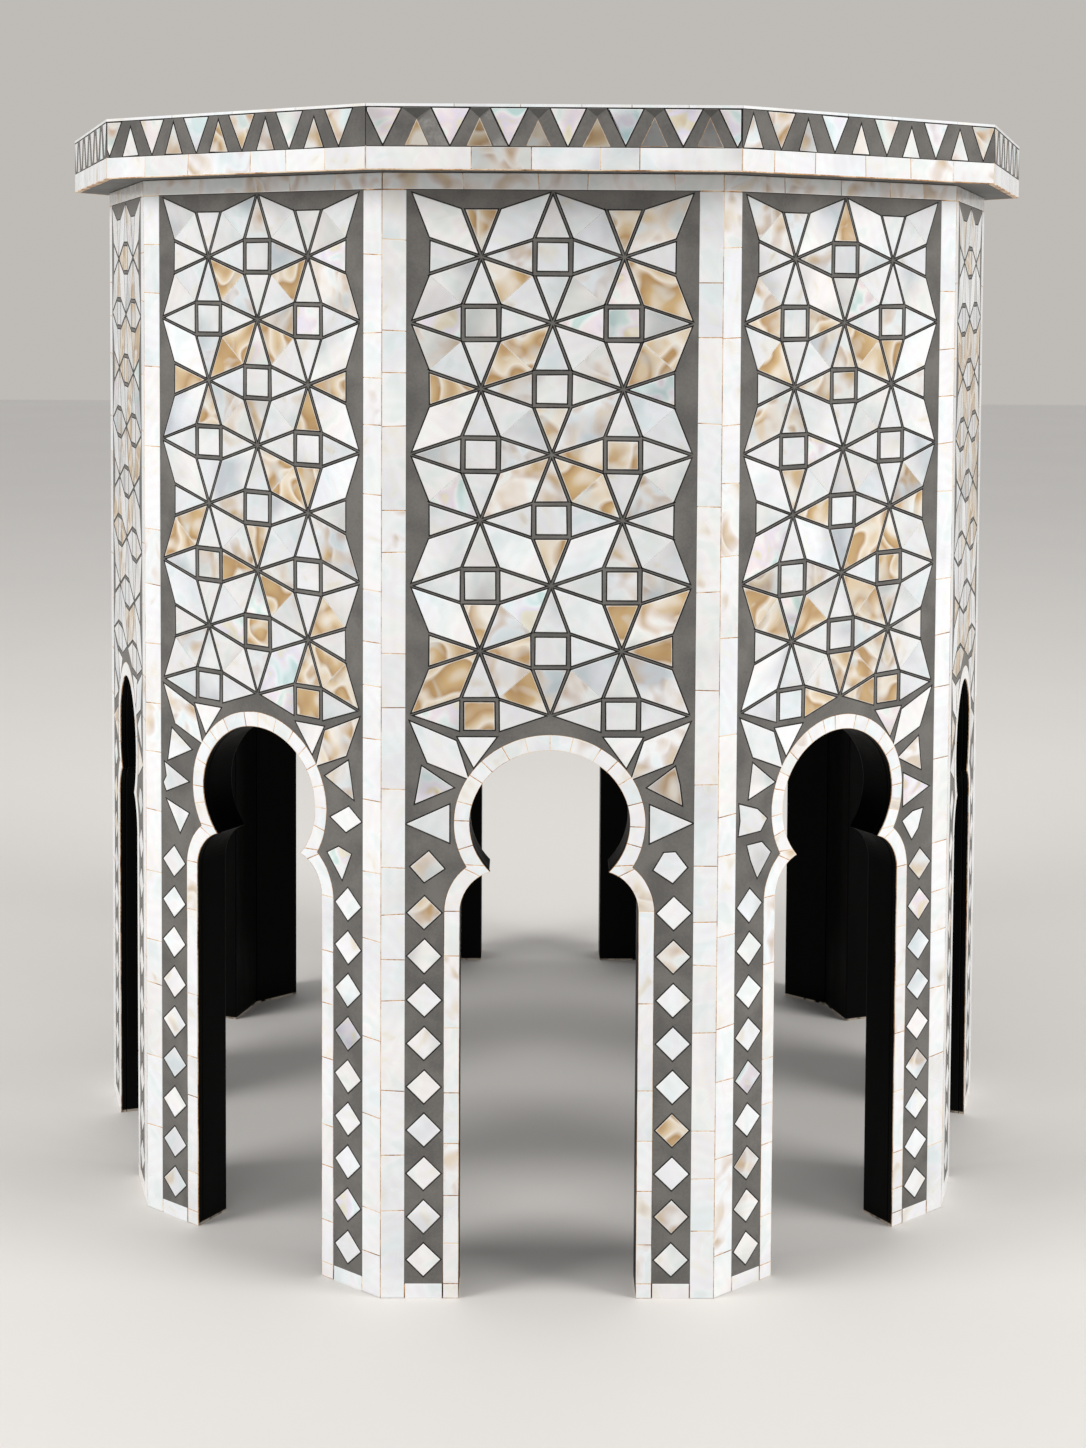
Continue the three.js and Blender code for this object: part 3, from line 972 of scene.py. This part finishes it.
def hanging(middle, head):
    """A triangle that hangs from the top of an edge."""
    reach = EDGE_TRIANGLE_WIDTH / 2 * rng.uniform(*HANGING_WIDTHS)
    tip = head - EDGE_TRIANGLE_HEIGHT + rng.uniform(*HANGING_TIPS)
    return [(middle, tip), (middle + reach, head), (middle - reach, head)]


def standing(middle, foot, rise, reach):
    """A smaller triangle that stands on the strip of an edge."""
    return [(middle - reach, foot), (middle + reach, foot), (middle, foot + rise)]


def hanging_look(side):
    """Iridescent on side 1, with more cream on the others."""
    if side == 1:
        return (rng.uniform(0.0, 0.22), rng.uniform(0.86, 0.98), 0.0, 0.12)
    return (rng.uniform(0.1, 0.6), rng.uniform(0.84, 1.0), 0.0, 0.22)


def standing_look():
    return (rng.uniform(0.0, 0.6), rng.uniform(0.7, 1.0), 0.0, KITE_CALM)


def resin_shades(piece, gap, standing_outline, foot, head, level, pale_band):
    """The darker triangle over a standing one, and the band to its right, clear of the slips."""
    left, right = gap
    apex = standing_outline[2]
    reach = EDGE_TRIANGLE_WIDTH / 2
    shoulder = (right - left) / 2 - reach - 0.6
    dark = [(apex[0], apex[1] + 0.5), (apex[0] + shoulder, head), (apex[0] - shoulder, head)]
    piece.plate(dark, level - OUTLINE_WIDTH, level + OUTLINE_LIFT / 2, DARK_RESIN)
    if pale_band:
        band = [
            (standing_outline[1][0] + 0.7, foot),
            (right - 0.8, foot),
            (right - 0.8, head - EDGE_TRIANGLE_HEIGHT),
            (right - reach - 0.9, head),
            (apex[0] + shoulder + 0.5, head),
            (apex[0] + 0.5, apex[1] - 0.4),
        ]
        piece.plate(band, level - OUTLINE_WIDTH, level + OUTLINE_LIFT / 2, PALE_RESIN)


def edge_triangles(piece, side, end, foot, head, level):
    """Triangles of a top edge as (outline, look, edging): hanging ones, then those between them."""
    middles = [(share - 0.5) * 2 * end for share in EDGE_SHARES.get(side, OTHER_EDGE_SHARES)]
    pieces = [(hanging(middle, head), hanging_look(side), DARK_EDGING) for middle in middles]
    gaps = list(zip(middles, middles[1:]))
    if side == 1:
        for i, (gap, look) in enumerate(zip(gaps, DIM_LOOKS)):
            rise = rng.uniform(*DIM_RISES)
            outline = standing(sum(gap) / 2, foot, rise, rise * DIM_REACH)
            pieces.append((outline, (*look, 0.0, KITE_CALM), AMBER_EDGING))
            resin_shades(piece, gap, outline, foot, head, level, i < PALE_BANDS)
        return pieces
    pitch = middles[1] - middles[0]
    gaps = [(middles[0] - pitch, middles[0])] + gaps + [(middles[-1], middles[-1] + pitch)]
    for left, right in gaps:
        middle, reach = (left + right) / 2, rng.uniform(*STANDING_REACHES)
        if abs(middle) < end - reach / 4:
            outline = standing(middle, foot, rng.uniform(*STANDING_RISES), reach)
            pieces.append((outline, standing_look(), DARK_EDGING))
            saw_cut(piece, outline[2], level)
    return pieces


def saw_cut(piece, tip, level):
    """The dark end of a saw cut over the tip of a standing triangle."""
    x, z = tip
    width, rise = SAW_CUT
    outline = [(x - width / 2, z), (x + width / 2, z), (x, z + rise)]
    piece.plate(outline, level - OUTLINE_WIDTH, level + OUTLINE_LIFT / 2, LINE_RESIN)


def front_edge_strip(piece, end, foot, head):
    """Side 1's slips under its triangles, one of them of a greyish olive shell."""
    for i, (start, finish) in enumerate(zip(EDGE_SLIP_SHARES, EDGE_SLIP_SHARES[1:])):
        left, right = (end * (2 * share - 1) for share in (start, finish))
        left, right = left + JOINT / 2, right - JOINT / 2
        look = OLIVE_LOOK if i == OLIVE_SLIP else (0.0, rng.uniform(0.93, 0.98), 0.0, 0.6)
        piece.slip([(left, foot), (right, foot), (right, head), (left, head)], TOP_APOTHEM, look)


def top_edge(number, turn, side):
    """The edge of the top: hanging triangles over a strip, with small ones between."""
    piece = Piece(f"edge_mosaic_{number}", turn, mitred=True)
    end = half_width(TOP_APOTHEM)
    foot, head = TOP_UNDERSIDE, EDGE_HEAD
    split = foot + EDGE_STRIP
    level = TOP_APOTHEM - RESIN_DROP
    piece.plate([(-end, split), (end, split), (end, head), (-end, head)], EDGE_BACK, level, RESIN)
    sill = foot + GLUE_SILL
    glue_front = TOP_APOTHEM - GLUE_DROP
    piece.plate([(-end, foot), (end, foot), (end, sill), (-end, sill)], EDGE_BACK, glue_front, GLUE)
    piece.bed([(-end, sill), (end, sill), (end, split), (-end, split)], EDGE_BACK, TOP_APOTHEM)
    piece.corner_glue(foot, split, EDGE_BACK, TOP_APOTHEM)
    if side == 1:
        front_edge_strip(piece, end, sill, split - JOINT)
    else:
        level_strip(piece, -end, end, sill, split - JOINT, TOP_APOTHEM)
    limit = end - OUTLINE_WIDTH
    tip_head = head - EDGE_HEADROOM
    for points, look, edging in edge_triangles(piece, side, end, split + EDGE_HEADROOM, tip_head, level):
        points = clipped(jittered(points, EDGE_JITTER), lambda p: limit - p[0])
        points = clipped(clipped(points, lambda p: limit + p[0]), lambda p: tip_head - p[1])
        piece.slip(points, TOP_APOTHEM, look)
        piece.edging(points, level, *edging)
    piece.make(f"edge_inlay_{number}")


for side in range(SIDES):
    label = f"{side + 1:02d}"
    angle = side * TURN
    side_board(label, angle)
    side_mosaic(label, angle, side + 1)
    side_border(label, angle)
    arch_border(label, angle)
    top_edge(label, angle, side + 1)


# The top
TOP_BORDER = 10.0
TOP_MARGIN = 5.0
TOP_BED_INSET = 0.3
LEAST_SLIP_AREA = 14.0
TOP_REACH = 9
TOP_TRIANGLE_TAN = 0.25
TOP_SQUARE_TAN = 0.2


def ten_sided(apothem):
    radius = apothem / math.cos(MITRE)
    angles = [(i + 0.5) * TURN for i in range(SIDES)]
    return [(radius * math.sin(angle), -radius * math.cos(angle)) for angle in angles]


def top_crossing(column, row):
    return (column * column_step, -row * ROW_HEIGHT)


def top_slips():
    """The star mosaic over the whole top, cut off at its ten-sided field."""
    slips = []
    for row in range(-TOP_REACH, TOP_REACH):
        for column in range(-TOP_REACH, TOP_REACH):
            slips += kite_slips(column, row, at=top_crossing)
            if (column + row) % 2:
                triangles = square_triangles(column, row, top_crossing)
                inner = [drawn_in(points, LINE / 2) for points in triangles.values()]
                slips += [(points, TOP_TRIANGLE_TAN) for points in inner]
                slips.append((square_at(*top_crossing(column, row)), TOP_SQUARE_TAN))
    reach = TOP_APOTHEM - TOP_BORDER - TOP_MARGIN
    kept = []
    for points, tan_chance in slips:
        for i in range(SIDES):
            nx, nz = math.sin(i * TURN), -math.cos(i * TURN)
            if len(points) > 2:
                points = clipped(points, lambda p: reach - p[0] * nx - p[1] * nz)
        if len(points) > 2 and area(points) > LEAST_SLIP_AREA:
            kept.append((points, tan_chance))
    return kept


def top():
    """The mosaic of the top inside a border of butted slips."""
    piece = Piece("top_mosaic", level=True)
    outer, inner = ten_sided(TOP_APOTHEM), ten_sided(TOP_APOTHEM - TOP_BORDER)
    level = TOP_FACE - RESIN_DROP
    piece.plate(drawn_in(inner, -TOP_BED_INSET), TOP_SKIN_FOOT, level, RESIN)
    piece.plate(drawn_in(outer, TOP_BED_INSET), TOP_SKIN_FOOT, TOP_FACE - GLUE_DROP - RESIN_DROP, GLUE)
    for points, tan_chance in top_slips():
        look = slip_look(points, rng.random() < tan_chance)
        piece.slip(points, TOP_FACE, look, thickness=SHELL_THICKNESS / 2)
        piece.edging(points, level)
    for i in range(SIDES):
        a, b = Vector(outer[i - 1]), Vector(outer[i])
        c, d = Vector(inner[i - 1]), Vector(inner[i])
        length = (b - a).length
        for low, high in stretches(length):
            start, end = low / length, high / length
            points = [a.lerp(b, start), a.lerp(b, end), c.lerp(d, end), c.lerp(d, start)]
            piece.slip([tuple(p) for p in points], TOP_FACE, strip_look())
    piece.make("top_inlay")


top()

for node, material in {"top_board": GREY_PAINT, "top_ring": PAINT}.items():
    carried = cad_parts[node]
    carried.data.materials.clear()
    carried.data.materials.append(material)


# Floor, light and camera
def stage_material(name, colour):
    material, tree, shader = new_material(name)
    place = add(tree, "ShaderNodeTexCoord").outputs["Object"]
    clouds = noise(tree, place, 3.0, 4.0)
    shades = [(0.3, *[c * 0.97 for c in colour]), (0.7, *colour)]
    tree.links.new(ramp(tree, clouds, shades), shader.inputs["Base Color"])
    shader.inputs["Roughness"].default_value = 0.7
    return material


FLOOR_REACH = 6.0
FLOOR_COLOUR = (0.76, 0.73, 0.695)
AMBIENT_COLOUR = (0.61, 0.615, 0.62, 1)
BACKDROP_COLOUR = (0.52, 0.50, 0.475, 1)

floor_mesh = bpy.data.meshes.new("floor")
floor_corners = [(x * FLOOR_REACH, y * FLOOR_REACH, 0) for x, y in ((-1, -1), (1, -1), (1, 1), (-1, 1))]
floor_mesh.from_pydata(floor_corners, [], [(0, 1, 2, 3)])
floor_mesh.materials.append(stage_material("pale_floor", FLOOR_COLOUR))
floor = bpy.data.objects.new("floor", floor_mesh)
bpy.context.scene.collection.objects.link(floor)

world = bpy.data.worlds.new("studio")
bpy.context.scene.world = world
world.use_nodes = True
world_tree = world.node_tree
background = world_tree.nodes["Background"]
path = add(world_tree, "ShaderNodeLightPath")
seen = path.outputs["Is Camera Ray"]
for other in ("Is Glossy Ray", "Is Transmission Ray"):
    seen = math_node(world_tree, "MAXIMUM", seen, path.outputs[other])
world_colour = mix(world_tree, seen, AMBIENT_COLOUR, BACKDROP_COLOUR)
world_tree.links.new(world_colour, background.inputs["Color"])
background.inputs["Strength"].default_value = 1.0


LAMP_SIZE = 1.3
LAMP_POWER = 15.2
LAMP_SPREAD = math.radians(105)
LAMP_TARGET = Vector((0, 0, 0.27))


def area_light(name, place):
    """A round soft lamp that isn't mirrored in the object."""
    data = bpy.data.lights.new(name, "AREA")
    data.shape = "DISK"
    data.size = LAMP_SIZE
    data.energy = LAMP_POWER
    data.spread = LAMP_SPREAD
    light = bpy.data.objects.new(name, data)
    light.visible_glossy = False
    light.location = place
    light.rotation_euler = (LAMP_TARGET - Vector(place)).to_track_quat("-Z", "Y").to_euler()
    bpy.context.scene.collection.objects.link(light)


area_light("key", (-2.27, -0.97, 1.65))
area_light("fill", (2.27, -0.97, 1.55))

# The camera, fitted to the corners of the drum in the photograph of 1086 by 1448 pixels
PHOTO_HEIGHT = 1448
FOCAL_PIXELS = 1973.0
AXIS_PIXEL = 375
SENSOR = 36.0
CAMERA_PLACE = Vector((-0.0092, -4.7558, 1.9825)) * PEARL_FRONT * MM
CAMERA_PITCH = math.radians(2.746)
CAMERA_ROLL = math.radians(0.317)
CAMERA_YAW = math.radians(-0.484)

camera_data = bpy.data.cameras.new("camera")
camera_data.lens = FOCAL_PIXELS / PHOTO_HEIGHT * SENSOR
camera_data.sensor_width = SENSOR
camera_data.shift_y = (AXIS_PIXEL - PHOTO_HEIGHT / 2) / PHOTO_HEIGHT
camera = bpy.data.objects.new("camera", camera_data)
swing = Matrix.Rotation(CAMERA_YAW, 4, "Z")
aim = Matrix.Rotation(math.pi / 2 - CAMERA_PITCH, 4, "X") @ Matrix.Rotation(CAMERA_ROLL, 4, "Z")
camera.matrix_world = swing @ Matrix.Translation(CAMERA_PLACE) @ aim
bpy.context.scene.collection.objects.link(camera)
bpy.context.scene.camera = camera
bpy.context.scene.view_settings.view_transform = "Standard"
